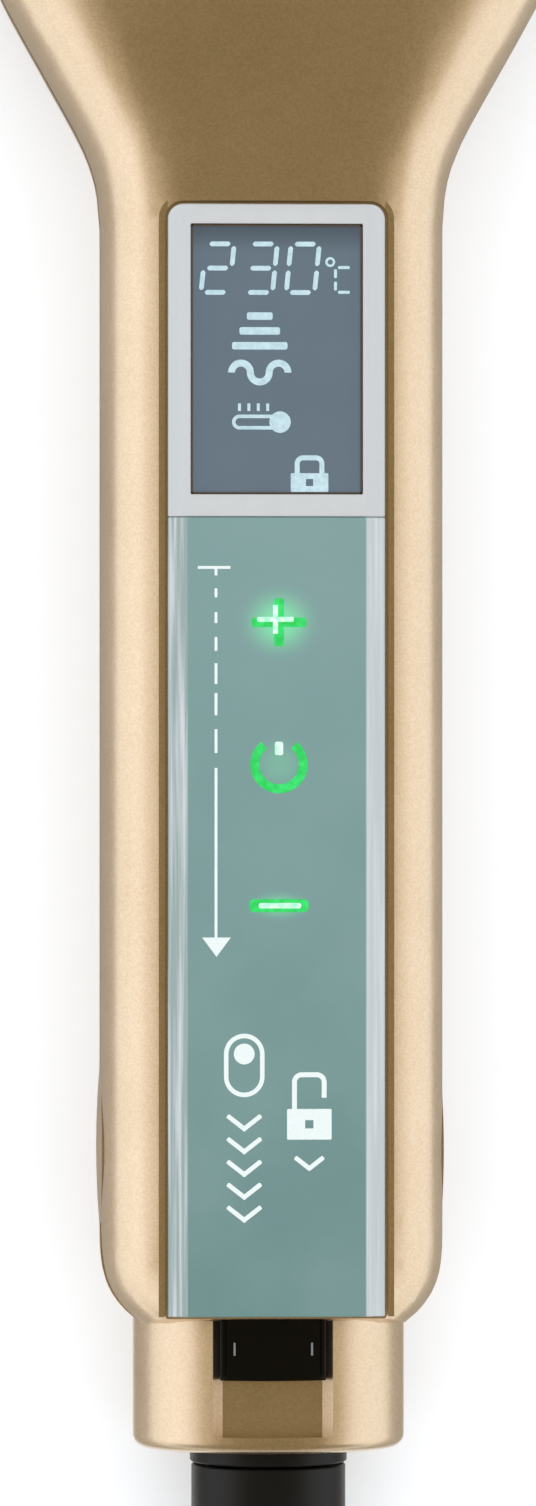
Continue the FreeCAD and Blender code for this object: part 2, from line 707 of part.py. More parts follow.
# the top of the tail leans forward to meet the panel's end
rake_tool = side_prism("rake_tool", FAR, [
    (tail_y - beyond, level(cell("rake_low"))), (tail_y, level(cell("rake_low"))),
    (along(-cell("rake_reach")), level(cell("lip_top"))), (along(-cell("rake_reach")), FAR),
    (tail_y - beyond, FAR)])
floor_tool = box("floor_tool", -cell("floor_half"), cell("floor_half"),
                 along(-cell("floor_back")), along(cell("floor_front")), level(8), FAR)
upper_solid = fuse("upper_solid", [upper_half, lip_bar])
upper_housing = cut_all("upper_housing", upper_solid,
                        [upper_cap_tool, seat_tool, floor_tool, rake_tool])

# ---- panel: bezel and touch strip with sloping sides, glass in the bezel's window ----

half, flat = cell("panel_half"), cell("panel_flat")
panel_corners = [(-half, level(cell("seat_top"))), (half, level(cell("seat_top"))),
                 (half, level(cell("panel_edge"))), (flat, level(cell("panel_top"))),
                 (-flat, level(cell("panel_top"))), (-half, level(cell("panel_edge")))]
panel_back_y, split_y = along(-cell("panel_back")), along(cell("panel_split"))
touch_panel = end_prism("touch_panel", panel_back_y, split_y, panel_corners)
bezel_bar = end_prism("bezel_bar", split_y + cell("running_gap"), along(cell("panel_front")),
                      panel_corners)
window_y0, window_y1 = along(cell("window_back")), along(cell("window_front"))
window_half = cell("window_half")
window_tool = box("window_tool", -window_half, window_half, window_y0, window_y1,
                  level(0), FAR)
bezel_round = rounded_front("bezel_round", bezel_bar, along(cell("panel_front")),
                            cell("panel_corner"))
display_bezel = cut("display_bezel", bezel_round, window_tool)
glass_half, glass_gap = window_half - 0.1, 0.1
display_glass = slab("display_glass", -glass_half, glass_half, window_y0 + glass_gap,
                     window_y1 - glass_gap, level(cell("seat_top")), level(cell("glass_top")))

# ---- boards and what sits on them ----

board_low = level(-cell("board_depth"))
board_top = board_low + cell("board_thick")
mains_board = slab("mains_board", -cell("board_half"), cell("board_half"),
                   along(cell("board_start")), along(cell("board_end")), board_low, board_top)
# x from and to, place along the tool from and to, and height above the mains board
BOARD_PARTS = {
    "power_relay": (-11, -1, 40, 58, 6.0),
    "mains_terminal": (-10.5, -1.5, 28, 35, 5.5),
    "triac": (2, 12, 74, 78, 6.2),
}
board_parts = {name: slab(name, x0, x1, along(y0), along(y1), board_top, board_top + height)
               for name, (x0, x1, y0, y1, height) in BOARD_PARTS.items()}
can_radius, can_length = 3.3, 16
smoothing_capacitor = rod("smoothing_capacitor", "y", can_radius, can_length, 6.5, along(32),
                          board_top + can_radius)
ring_radius, wound_radius = 3.6, 1.6
line_choke = doc.addObject("Part::Torus", "line_choke")
bind(line_choke, Radius1=ring_radius, Radius2=wound_radius)
place(line_choke, 6.5, along(62), board_top + wound_radius)

control_top = level(cell("control_top"))
control_board = slab("control_board", -cell("control_half"), cell("control_half"), along(19),
                     along(94), control_top - cell("board_thick"), control_top)
display_module = slab("display_module", -8.3, 8.3, along(67), along(92.5),
                      control_top, level(11.6))
KEY_PLACES = {"plus": 53.7, "power": 39.3, "minus": 25.1}
touch_springs = group("touch_springs", [
    rod("touch_spring_" + key, "z", 3.0, level(11.8) - control_top, 0, along(y), control_top)
    for key, y in KEY_PLACES.items()])
key_lights = group("key_lights", [
    slab("key_light_" + key, 4.6, 6.2, along(y - 1.4), along(y + 1.4),
         control_top, control_top + 1.0) for key, y in KEY_PLACES.items()])
guide_bar = slab("guide_bar", -7.8, 7.8, along(19), along(60), level(10.4), level(11.4))
guide_holes = fuse("guide_holes", posts("guide_hole", [(0, y) for y in KEY_PLACES.values()],
                                        const(3.6), level(9), level(13)))
icon_light_guide = cut("icon_light_guide", guide_bar, guide_holes)

# ---- inner covers: plates that close the two handle halves ----

cover_back, cover_front = along(cell("cover_start")), along(cell("cover_end"))
cover_inner, cover_outer = cell("cover_inner"), cell("cover_outer")
lower_plate = box("lower_cover_plate", -FAR, FAR, cover_back, cover_front,
                  level(-cover_outer), level(-cover_inner))
cover_posts = posts("cover_post", HANDLE_SCREWS, post_radius, level(-12.2),
                    level(-cover_inner - 0.6))
cover_whole = fuse("lower_cover_whole",
                   [common("lower_cover_fit", lower_plate, casing_inner)] + cover_posts)
cover_bores = fuse("lower_cover_bores",
                   posts("cover_bore", HANDLE_SCREWS, screw, level(-30), handle_tip))
lower_inner_cover = cut("lower_inner_cover", cover_whole, cover_bores)
upper_plate = box("upper_cover_plate", -FAR, FAR, cover_back, cover_front,
                  level(cover_inner), level(cover_outer))
upper_inner_cover = common("upper_inner_cover", upper_plate, casing_inner)

# ---- barrels: hollow D-shaped tubes with a flat back, in insulating frames ----

barrel_y0, barrel_y1 = along(cell("barrel_start")), along(cell("barrel_end"))
pitch = cell("barrel_pitch")
LOWER_BARRELS = {"left": -pitch, "centre": pitch * 0, "right": pitch}
UPPER_BARRELS = {"left": -pitch * 0.5, "right": pitch * 0.5}


def barrel_spot(arm):
    """Height of a barrel's axis and the sign that points from it to the arm's back."""
    side = 1 if arm == "upper" else -1
    return level(cell("barrel_lift") * side), side


def slice_back(name, side, depth):
    """Half space behind the flat at a depth counted from the parting plane."""
    back, front = barrel_y0 - 5, barrel_y1 + 5
    if side > 0:
        return box(name, -FAR, FAR, back, front, level(depth), FAR)
    return box(name, -FAR, FAR, back, front, -FAR, level(-as_size(depth)))


def barrel(arm, name, x):
    height, side = barrel_spot(arm)
    label = "%s_barrel_%s" % (arm, name)
    length = barrel_y1 - barrel_y0
    outside = rod(label + "_outside", "y", cell("barrel_radius"), length, x, barrel_y0, height)
    shaped = cut(label + "_shaped", outside,
                 slice_back(label + "_flat", side, cell("barrel_flat")))
    inside = rod(label + "_inside", "y", cell("barrel_bore"), length + 2, x, barrel_y0 - 1,
                 height)
    hollow = cut(label + "_hollow", inside,
                 slice_back(label + "_shelf", side, cell("barrel_flat") - cell("barrel_skin")))
    return cut(label, shaped, hollow)


def heater(arm, name, x):
    """Ceramic heating plate on the inner flat of a barrel."""
    side = barrel_spot(arm)[1]
    shelf = cell("barrel_flat") - cell("barrel_skin")
    thick = cell("heater_thick")
    if side > 0:
        low, high = level(shelf - thick), level(shelf)
    else:
        low, high = level(-shelf), level(-shelf + thick)
    start = barrel_y0 + 5
    return slab("%s_heater_%s" % (arm, name), x - cell("heater_half"), x + cell("heater_half"),
                start, start + cell("heater_length"), low, high)


def leads(arm, barrels, start):
    """Two straight insulated leads from the board to each heater."""
    side = barrel_spot(arm)[1]
    radius, pair = num("lead_radius"), num("lead_pair")
    heater_face = num("barrel_flat") - num("barrel_skin") - num("heater_thick")
    height = level(side * (heater_face - radius - num("lead_gap"))).number
    gather = 0.42
    pieces = []
    for x in barrels.values():
        for shift in (-pair, pair):
            first = Vector(x.number * gather + shift, along(start).number, height)
            last = Vector(x.number + shift, barrel_y0.number + 4, height)
            pieces.append(Part.makeCylinder(radius, (last - first).Length, first, last - first))
    return pieces


lower_barrels = {name: barrel("lower", name, x) for name, x in LOWER_BARRELS.items()}
upper_barrels = {name: barrel("upper", name, x) for name, x in UPPER_BARRELS.items()}
lower_heaters = {name: heater("lower", name, x) for name, x in LOWER_BARRELS.items()}
upper_heaters = {name: heater("upper", name, x) for name, x in UPPER_BARRELS.items()}
lower_leads = leads("lower", LOWER_BARRELS, 103)
upper_leads = leads("upper", UPPER_BARRELS, 96)
lower_heater_leads = solid("lower_heater_leads", Part.makeCompound(lower_leads))
upper_heater_leads = solid("upper_heater_leads", Part.makeCompound(upper_leads))


def recesses(arm, barrels):
    """Round troughs that leave a small gap round each barrel, with a flat floor."""
    height, side = barrel_spot(arm)
    tools = []
    for name, x in barrels.items():
        label = "%s_trough_%s" % (arm, name)
        trough = rod(label + "_round", "y", cell("barrel_radius") + cell("barrel_room"),
                     barrel_y1 - barrel_y0 + 2, x, barrel_y0, height)
        tools.append(cut(label, trough,
                         slice_back(label + "_floor", side, cell("barrel_flat"))))
    return tools


frame_y0 = along(cell("frame_start"))
frame_half = cell("frame_half")
rim_step = 0.2


def lead_notches(arm, barrels, low, high):
    """Openings for the heater leads in the frame's back wall."""
    reach = 5.5
    return [box("%s_lead_notch_%s" % (arm, name), x - reach, x + reach, frame_y0 - 1,
                barrel_y0 + 0.5, level(low), level(high)) for name, x in barrels.items()]


lower_frame_bar = box("lower_frame_bar", -frame_half, frame_half, frame_y0, barrel_y1,
                      level(-cell("frame_back")), level(-cell("jaw_low_rim") - rim_step))
lower_frame_tools = (recesses("lower", LOWER_BARRELS)
                     + lead_notches("lower", LOWER_BARRELS, -7.2, 0)
                     + posts("frame_bore", HEAD_SCREWS, screw, level(-30), head_tip))
lower_frame_cut = cut("lower_frame_cut", lower_frame_bar,
                      fuse("lower_frame_tools", lower_frame_tools))
lower_barrel_frame = common("lower_barrel_frame", lower_frame_cut, casing_inner)

upper_frame_bar = box("upper_frame_bar", -frame_half, frame_half, frame_y0, barrel_y1,
                      level(cell("jaw_top_rim") + rim_step), level(cell("frame_back")))
shoulder_head_low, shoulder_head_high, shoulder_tip = level(3.3), level(4.3), level(10.9)
# hollows in the frame's shoulders, above a floor and round the screw posts
shoulder_wells = []
for side, low, high in (("left", -27.6, -19.6), ("right", 19.6, 27.6)):
    well = box("shoulder_well_" + side, low, high, frame_y0 + 2, barrel_y1 - 2,
               shoulder_head_high + 0.5, FAR)
    well_posts = posts("shoulder_post_" + side, SHOULDER_SCREWS, post_radius, level(0),
                       level(30))
    shoulder_wells.append(cut("shoulder_tool_" + side, well,
                              fuse("shoulder_posts_" + side, well_posts)))
upper_frame_tools = (recesses("upper", UPPER_BARRELS)
                     + lead_notches("upper", UPPER_BARRELS, 4.6, 7.0) + shoulder_wells
                     + posts("shoulder_head", SHOULDER_SCREWS, head + head_room, level(0),
                             shoulder_head_high)
                     + posts("shoulder_bore", SHOULDER_SCREWS, screw, level(0), shoulder_tip + 0.1))
upper_frame_cut = cut("upper_frame_cut", upper_frame_bar,
                      fuse("upper_frame_tools", upper_frame_tools))
upper_barrel_frame = common("upper_barrel_frame", upper_frame_cut, casing_inner)
upper_screws = group("upper_screws", screws("shoulder", SHOULDER_SCREWS, shoulder_head_low,
                                            shoulder_head_high, shoulder_tip))

# both lie in the valleys between the lower barrels
bead_radius, bead_level = 0.9, level(-4.2)
thermal_fuse = rod("thermal_fuse", "y", bead_radius, 10, pitch * 0.5, along(160), bead_level)
temperature_sensor = rod("temperature_sensor", "y", bead_radius, 5, pitch * -0.5, along(160),
                         bead_level)

# ---- nose caps: rounded ends of the two jaws, with a disc over each barrel's end ----

NOSE_SHARES = (0, 0.25, 0.5, 0.7, 0.85, 0.95)


def nose_section(share):
    """Station of the nose: the casing's section, drawn in along a quarter ellipse."""
    inset = num("nose_length") * (1 - math.sqrt(1 - share ** 2))
    y = num("casing_front") + num("nose_length") * share / NOSE_SHARES[-1]
    return based_section(y, num("head_half") - inset, num("head_top") - inset,
                         num("base_depth"))


nose_solid = solid("nose_solid", span_solid([NOSE_SHARES], nose_section))


def nose_cap(arm, region, barrels):
    height, side = barrel_spot(arm)
    disc_thick = 4.5
    pieces = [common(arm + "_nose_block", nose_solid, region)]
    for name, x in barrels.items():
        label = "%s_nose_disc_%s" % (arm, name)
        disc = rod(label + "_round", "y", cell("barrel_radius"), disc_thick, x, barrel_y1,
                   height)
        pieces.append(cut(label, disc, slice_back(label + "_flat", side, cell("barrel_flat"))))
    return fuse(arm + "_nose_cap", pieces)


lower_nose_cap = nose_cap("lower", lower_region, LOWER_BARRELS)
upper_nose_cap = nose_cap("upper", upper_region, UPPER_BARRELS)

# ---- nodes: what is written, one file each ----

NODES = {
    "lower_housing": lower_housing, "upper_housing": upper_housing,
    "neck_shell": neck_shell, "lock_slider": lock_slider,
    "lock_detent_spring": lock_detent_spring,
    "swivel_socket": swivel_socket, "swivel_cap": swivel_cap,
    "swivel_retainer": swivel_retainer, "slip_rings": slip_rings,
    "contact_brushes": contact_brushes,
    "hinge_cap_left": hinge_cap_left, "hinge_cap_right": hinge_cap_right,
    "hinge_pin": hinge_pin, "hinge_block": hinge_block, "hinge_bracket": hinge_bracket,
    "hinge_bushes": hinge_bushes, "opening_spring": opening_spring,
    "display_bezel": display_bezel, "display_glass": display_glass,
    "touch_panel": touch_panel, "display_module": display_module,
    "control_board": control_board, "touch_springs": touch_springs,
    "key_lights": key_lights, "icon_light_guide": icon_light_guide,
    "mains_board": mains_board, **board_parts,
    "smoothing_capacitor": smoothing_capacitor, "line_choke": line_choke,
    "lower_inner_cover": lower_inner_cover, "upper_inner_cover": upper_inner_cover,
    "lower_barrel_frame": lower_barrel_frame, "upper_barrel_frame": upper_barrel_frame,
    "lower_nose_cap": lower_nose_cap, "upper_nose_cap": upper_nose_cap,
    "lower_screws": lower_screws, "upper_screws": upper_screws,
    "thermal_fuse": thermal_fuse, "temperature_sensor": temperature_sensor,
    "lower_heater_leads": lower_heater_leads, "upper_heater_leads": upper_heater_leads,
}
for arm, pieces in (("lower", lower_barrels), ("upper", upper_barrels)):
    for name, item in pieces.items():
        NODES["%s_barrel_%s" % (arm, name)] = item
for arm, pieces in (("lower", lower_heaters), ("upper", upper_heaters)):
    for name, item in pieces.items():
        NODES["%s_heater_%s" % (arm, name)] = item

doc.recompute()
failed = [item.Name for item in doc.Objects
          if "Invalid" in item.State or "Error" in item.State]
if failed:
    raise RuntimeError("failed to compute: " + ", ".join(failed))
for name, item in NODES.items():
    if item.Shape.isNull() or not item.Shape.isValid() or not item.Shape.Solids:
        raise RuntimeError("bad shape: " + name)

os.makedirs("parts", exist_ok=True)
for name, item in NODES.items():
    item.Label = name
    item.Shape.exportStep("parts/%s.step" % name)
    bounds = item.Shape.BoundBox
    print("%-22s %2d solid  x %7.2f %7.2f  y %7.2f %7.2f  z %6.2f %6.2f  %9.1f mm3" % (
        name, len(item.Shape.Solids), bounds.XMin, bounds.XMax, bounds.YMin, bounds.YMax,
        bounds.ZMin, bounds.ZMax, item.Shape.Volume))
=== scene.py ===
import json
import math

import bmesh
import bpy
from mathutils import Matrix, Vector


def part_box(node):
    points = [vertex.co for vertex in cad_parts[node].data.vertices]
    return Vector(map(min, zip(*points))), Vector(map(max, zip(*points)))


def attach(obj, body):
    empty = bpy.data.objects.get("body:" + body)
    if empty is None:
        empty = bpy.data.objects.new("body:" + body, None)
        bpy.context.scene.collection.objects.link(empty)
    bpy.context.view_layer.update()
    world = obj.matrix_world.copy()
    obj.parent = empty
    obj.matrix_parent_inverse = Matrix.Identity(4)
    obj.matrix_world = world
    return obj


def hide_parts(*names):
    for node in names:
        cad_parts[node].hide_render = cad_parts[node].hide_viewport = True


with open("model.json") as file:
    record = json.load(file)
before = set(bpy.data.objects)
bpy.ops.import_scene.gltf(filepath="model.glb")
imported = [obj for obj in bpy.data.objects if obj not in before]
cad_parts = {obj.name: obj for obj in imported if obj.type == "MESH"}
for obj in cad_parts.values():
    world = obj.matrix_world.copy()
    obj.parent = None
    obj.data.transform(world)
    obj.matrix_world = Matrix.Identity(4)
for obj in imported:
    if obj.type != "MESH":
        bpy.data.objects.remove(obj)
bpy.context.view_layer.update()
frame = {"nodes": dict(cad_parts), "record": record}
scene = bpy.context.scene
nodes = frame["nodes"]
millimetre = 0.001


# small helpers

def linear(hexColour, alpha=1.0):
    # sRGB hex to the linear colour that a shader socket takes
    channels = [int(hexColour[i:i + 2], 16) / 255 for i in (1, 3, 5)]
    straight = [c / 12.92 if c <= 0.04045 else ((c + 0.055) / 1.055) ** 2.4 for c in channels]
    return (*straight, alpha)


def addNode(tree, kind, inputs=None, **settings):
    # one shader node with its settings, values and links
    node = tree.nodes.new(kind)
    for name, value in settings.items():
        setattr(node, name, value)
    for socket, value in (inputs or {}).items():
        if isinstance(value, bpy.types.NodeSocket):
            tree.links.new(value, node.inputs[socket])
        else:
            node.inputs[socket].default_value = value
    return node


def startMaterial(name, **values):
    # a Principled material, returned with its tree, shader and object coordinates
    material = bpy.data.materials.new(name)
    material.use_nodes = True
    tree = material.node_tree
    shader = tree.nodes["Principled BSDF"]
    for socket, value in values.items():
        shader.inputs[socket.replace("_", " ")].default_value = value
    place = addNode(tree, "ShaderNodeTexCoord").outputs["Object"]
    return material, tree, shader, place


def placeItem(name, data):
    item = bpy.data.objects.new(name, data)
    scene.collection.objects.link(item)
    return item


def perMillimetre(size):
    # texture scale for a pattern whose features are this many millimetres across
    return 1 / (size * millimetre)


def noise(tree, place, size, detail=3.0):
    inputs = {"Vector": place, "Scale": perMillimetre(size), "Detail": detail}
    return addNode(tree, "ShaderNodeTexNoise", inputs).outputs["Fac"]


def remap(tree, value, fromLow, fromHigh, toLow, toHigh, curve="LINEAR"):
    inputs = {"Value": value, "From Min": fromLow, "From Max": fromHigh, "To Min": toLow,
              "To Max": toHigh}
    return addNode(tree, "ShaderNodeMapRange", inputs, interpolation_type=curve).outputs["Result"]


def blend(tree, factor, first, second):
    # colours may be hex text or other nodes' outputs
    mixer = addNode(tree, "ShaderNodeMix", {"Factor": factor}, data_type="RGBA")
    for socket, value in ((mixer.inputs[6], first), (mixer.inputs[7], second)):
        if isinstance(value, str):
            socket.default_value = linear(value)
        else:
            tree.links.new(value, socket)
    return mixer.outputs[2]


def addBump(tree, shader, height, strength, depth):
    bump = addNode(tree, "ShaderNodeBump", {"Height": height, "Strength": strength,
                                            "Distance": depth * millimetre})
    tree.links.new(bump.outputs["Normal"], shader.inputs["Normal"])


def makePiece(name, mesh, material, body, replaced=(), sharpAngle=35):
    # a finished bmesh becomes an object at the origin that rides on a CAD body
    bmesh.ops.recalc_face_normals(mesh, faces=mesh.faces)
    data = bpy.data.meshes.new(name)
    mesh.to_mesh(data)
    mesh.free()
    data.materials.append(material)
    data.shade_smooth()
    data.set_sharp_from_angle(angle=math.radians(sharpAngle))
    piece = placeItem(name, data)
    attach(piece, body)
    if replaced:
        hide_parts(*replaced)
    return piece


# where things are, from the frame

hinge = next(joint for joint in frame["record"]["behaviour"]["joints"]
             if joint["name"] == "arm_hinge")
hingeY = hinge["pos_m"][1]
partingZ = hinge["pos_m"][2] + 3 * millimetre  # where the two casings meet
panelLow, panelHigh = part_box("touch_panel")
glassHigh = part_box("display_glass")[1]
sliderLow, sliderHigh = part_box("lock_slider")

# camera, light and floor

camera = {
    "aim": (-0.26 * millimetre, -50.5 * millimetre),
    "distance": 800 * millimetre,
    "lean": 2.7,                     # degrees towards -X
    "frameHeight": 154.5 * millimetre,
    "sensor": 36.0,
    "clip": (0.01, 20),
}


def addCamera(settings):
    data = bpy.data.cameras.new("camera")
    data.sensor_width = settings["sensor"]
    data.lens = settings["sensor"] * settings["distance"] / settings["frameHeight"]
    data.clip_start, data.clip_end = settings["clip"]
    item = placeItem("camera", data)
    lean = math.radians(settings["lean"])
    back = Vector((-math.sin(lean), 0, math.cos(lean)))
    side = Vector((0, 1, 0)).cross(back)
    spot = Vector((*settings["aim"], partingZ)) + back * settings["distance"]
    item.matrix_world = Matrix((
        (side.x, 0, back.x, spot.x),
        (side.y, 1, back.y, spot.y),
        (side.z, 0, back.z, spot.z),
        (0, 0, 0, 1)))
    scene.camera = item


lights = {
    # name: (place in metres, length along the tool, height, watts, colour, seen in gloss)
    "leftBox": ((-0.85, -0.02, 0.27), 1.6, 0.54, 3.15, "#edf3ff", True),
    "leftHighBox": ((-0.79, -0.02, 0.71), 1.6, 0.42, 0.70, "#fff0dc", True),
    "rightBox": ((0.85, -0.02, 0.25), 1.6, 0.50, 2.7, "#edf3ff", True),
    "rightHighBox": ((0.80, -0.02, 0.66), 1.6, 0.34, 0.58, "#fff0dc", True),
    "topFill": ((0.0, -0.02, 1.3), 1.8, 1.8, 25.5, "#f0f6ff", False),
}
aimHeight = 0.012
surroundings = {"colour": "#ffe4a6", "strength": 0.24, "seen": "#f5f5f4"}
floor = {"radius": 0.8, "level": -0.02 * millimetre, "glow": 0.37, "fibre": 2.0,
         "tints": ("#cdd0d4", "#d1d4d8")}
flags = {"from": 0.0185, "to": 0.058, "length": 0.7, "height": 0.001, "mottle": 4.0,
         "tints": ("#a5a19a", "#aaa69f")}


def addLights(settings):
    for name, (place, length, height, power, colour, glossy) in settings.items():
        data = bpy.data.lights.new(name, "AREA")
        data.shape = "RECTANGLE"
        data.size, data.size_y = length, height
        data.energy = power
        data.color = linear(colour)[:3]
        item = placeItem(name, data)
        item.location = place
        aim = Vector((0, place[1], aimHeight)) - Vector(place)
        item.rotation_mode = "QUATERNION"
        item.rotation_quaternion = aim.to_track_quat("-Z", "Y")
        item.visible_glossy = glossy
        item.visible_camera = False
    # dim warm surroundings, with a pale wall where the floor ends
    world = bpy.data.worlds.new("studio")
    world.use_nodes = True
    tree = world.node_tree
    dim = tree.nodes["Background"]
    dim.inputs["Color"].default_value = linear(surroundings["colour"])
    dim.inputs["Strength"].default_value = surroundings["strength"]
    wall = addNode(tree, "ShaderNodeBackground", {"Color": linear(surroundings["seen"])})
    path = addNode(tree, "ShaderNodeLightPath")
    both = addNode(tree, "ShaderNodeMixShader", {0: path.outputs["Is Camera Ray"],
                                                 1: dim.outputs[0], 2: wall.outputs[0]})
    tree.links.new(both.outputs[0], tree.nodes["World Output"].inputs["Surface"])
    scene.world = world
    scene.view_settings.view_transform = "Standard"


def addFloor(settings):
    mesh = bmesh.new()
    bmesh.ops.create_circle(mesh, cap_ends=True, segments=96, radius=settings["radius"])
    bmesh.ops.translate(mesh, vec=(0, 0, settings["level"]), verts=mesh.verts)
    data = bpy.data.meshes.new("floor")
    mesh.to_mesh(data)
    mesh.free()
    # thin matt paper on a light table: a faint fibre mottle, and shadows partly washed out
    material, tree, shader, place = startMaterial(
        "mattPaperOnLightTable", Roughness=0.9, Emission_Color=linear("#ffffff"),
        Emission_Strength=settings["glow"])
    tint = blend(tree, noise(tree, place, settings["fibre"]), *settings["tints"])
    tree.links.new(tint, shader.inputs["Base Color"])
    data.materials.append(material)
    item = placeItem("floor", data)


def addFlags(settings):
    # grey cards beside the tool that only its gloss sees, so that its edges stand out
    material, tree, shader, place = startMaterial("greyFlagCard", Roughness=0.9)
    tint = blend(tree, noise(tree, place, settings["mottle"]), *settings["tints"])
    tree.links.new(tint, shader.inputs["Base Color"])
    mesh = bmesh.new()
    width = settings["to"] - settings["from"]
    for sign in (-1, 1):
        card = bmesh.ops.create_grid(mesh, x_segments=1, y_segments=1, size=0.5)["verts"]
        bmesh.ops.scale(mesh, vec=(width, settings["length"], 1), verts=card)
        bmesh.ops.translate(mesh, vec=(sign * (settings["from"] + width / 2), 0,
                                       settings["height"]), verts=card)
    data = bpy.data.meshes.new("flags")
    mesh.to_mesh(data)
    mesh.free()
    data.materials.append(material)
    item = placeItem("flags", data)
    item.visible_camera = False
    item.visible_diffuse = False
    item.visible_shadow = False


addCamera(camera)
addLights(lights)
addFloor(floor)
addFlags(flags)
print("camera, lights and floor placed")

# materials


gold = {"flake": 0.17, "cloud": 9.0, "span": (0.2, 1.8), "tints": ("#dcc5a4", "#f3dec3"),
        "rough": (0.27, 0.37), "bump": (0.06, 0.01)}


def goldLacquer(settings):
    # metallic lacquer sprayed on ABS: flake glints, drawn coarse enough to show, under satin
    material, tree, shader, place = startMaterial(
        "champagneMetallicLacquerOnAbs", Metallic=0.97, Coat_Weight=0.2, Coat_Roughness=0.14)
    flake = addNode(tree, "ShaderNodeTexVoronoi",
                    {"Vector": place, "Scale": perMillimetre(settings["flake"])})
    apart = addNode(tree, "ShaderNodeSeparateColor", {"Color": flake.outputs["Color"]})
    cloud = noise(tree, place, settings["cloud"])
    level = addNode(tree, "ShaderNodeMath", {0: apart.outputs["Red"], 1: cloud},
                    operation="ADD").outputs[0]
    tint = blend(tree, remap(tree, level, *settings["span"], 0.0, 1.0), *settings["tints"])
    tree.links.new(tint, shader.inputs["Base Color"])
    rough = remap(tree, level, *settings["span"], *settings["rough"])
    tree.links.new(rough, shader.inputs["Roughness"])
    addBump(tree, shader, flake.outputs["Distance"], *settings["bump"])
    return material


wearPatch = 14.0   # millimetres between the duller and the shinier places on mouldings
wearSpan = 0.04    # how far their roughness strays


def moulded(name, dark, light, rough, grainSize, depth, **values):
    # moulded thermoplastic: the tool's spark-eroded grain breaks up the satin shine
    material, tree, shader, place = startMaterial(name, **values)
    grain = noise(tree, place, grainSize, 4.0)
    tree.links.new(blend(tree, grain, dark, light), shader.inputs["Base Color"])
    wear = noise(tree, place, wearPatch)
    tree.links.new(remap(tree, wear, 0.3, 0.7, rough - wearSpan, rough + wearSpan),
                   shader.inputs["Roughness"])
    addBump(tree, shader, grain, 0.3, depth)
    return material


def metal(name, dark, light, rough, streak):
    # bare or plated metal: tone and roughness follow fine drawing lines along the part
    material, tree, shader, place = startMaterial(name, Metallic=1.0)
    stretch = addNode(tree, "ShaderNodeMapping", {"Vector": place, "Scale": (1, 1, streak)})
    lines = noise(tree, stretch.outputs["Vector"], 0.5, 4.0)
    tree.links.new(blend(tree, lines, dark, light), shader.inputs["Base Color"])
    tree.links.new(remap(tree, lines, 0.3, 0.7, rough - 0.05, rough + 0.07),
                   shader.inputs["Roughness"])
    return material


barrel = {"speck": 0.25, "tints": ("#39322c", "#4c443b"), "patch": 5.0, "rough": (0.26, 0.36),
          "bump": (0.1, 0.01)}


def barrelCoating(settings):
    # ceramic coating baked on drawn aluminium: smoked bronze, fine speckle, silky shine
    material, tree, shader, place = startMaterial(
        "ceramicCoatedAluminium", Metallic=0.55, Coat_Weight=0.3, Coat_Roughness=0.2)
    speck = addNode(tree, "ShaderNodeTexVoronoi",
                    {"Vector": place, "Scale": perMillimetre(settings["speck"])})
    apart = addNode(tree, "ShaderNodeSeparateColor", {"Color": speck.outputs["Color"]})
    tree.links.new(blend(tree, apart.outputs["Green"], *settings["tints"]),
                   shader.inputs["Base Color"])
    patch = noise(tree, place, settings["patch"])
    tree.links.new(remap(tree, patch, 0.3, 0.7, *settings["rough"]), shader.inputs["Roughness"])
    addBump(tree, shader, speck.outputs["Distance"], *settings["bump"])
    return material


boardVarnish = {"tracks": 9.0, "tints": ("#12502c", "#1d6a3c"), "bump": (0.4, 0.03)}


def solderMask(settings):
    # green mask over copper: faint raised tracks show through the varnish
    material, tree, shader, place = startMaterial("greenSolderMaskOnFr4", Roughness=0.35)
    tracks = addNode(tree, "ShaderNodeTexBrick",
                     {"Vector": place, "Scale": perMillimetre(settings["tracks"])})
    tree.links.new(blend(tree, tracks.outputs["Fac"], *settings["tints"]),
                   shader.inputs["Base Color"])
    addBump(tree, shader, tracks.outputs["Fac"], *settings["bump"])
    return material


finishes = {
    "gold_casing": goldLacquer(gold),
    "black_plastic": moulded("satinMouldedBlackAbs", "#09090a", "#101011", 0.42, 0.3, 0.012,
                              Specular_IOR_Level=0.3),
    "insulating_frame": moulded("glassFilledPps", "#1a1917", "#2c2a26", 0.55, 0.5, 0.03),
    "barrel_coating": barrelCoating(barrel),
    "heater_ceramic": moulded("sinteredAlumina", "#dcd8cf", "#ece9e2", 0.6, 0.2, 0.02),
    "steel": metal("zincPlatedSteel", "#a3a5a6", "#c4c6c7", 0.28, 0.1),
    "brass": metal("rolledBrass", "#b08d4c", "#cfae6c", 0.3, 0.1),
    "circuit_board": solderMask(boardVarnish),
    "component_black": moulded("epoxyMouldingCompound", "#161617", "#202022", 0.5, 0.2, 0.01),
    "capacitor_sleeve": moulded("shrunkPvcSleeve", "#1a2744", "#223258", 0.3, 2.0, 0.01),
    "display_body": moulded("whitePolycarbonateFrame", "#c9ccce", "#d6d8da", 0.4, 0.4, 0.01),
    "light_diode": moulded("epoxyDiodeLens", "#d5e8cf", "#e8f5e2", 0.2, 1.0, 0.0,
                           Emission_Color=linear("#35ff7a"), Emission_Strength=0.6),
    "lead_sleeve": moulded("siliconeLeadSleeve", "#b8b2a8", "#c9c4ba", 0.5, 0.4, 0.01),
}


# the side tone is painted shade on the bezel's sloping sides
bezel = {"shadedSlopes": (8.7 * millimetre, 9.7 * millimetre), "cloud": 1.2,
         "tints": ("#babdc0", "#c1c4c7"), "side": "#bfc4c8"}


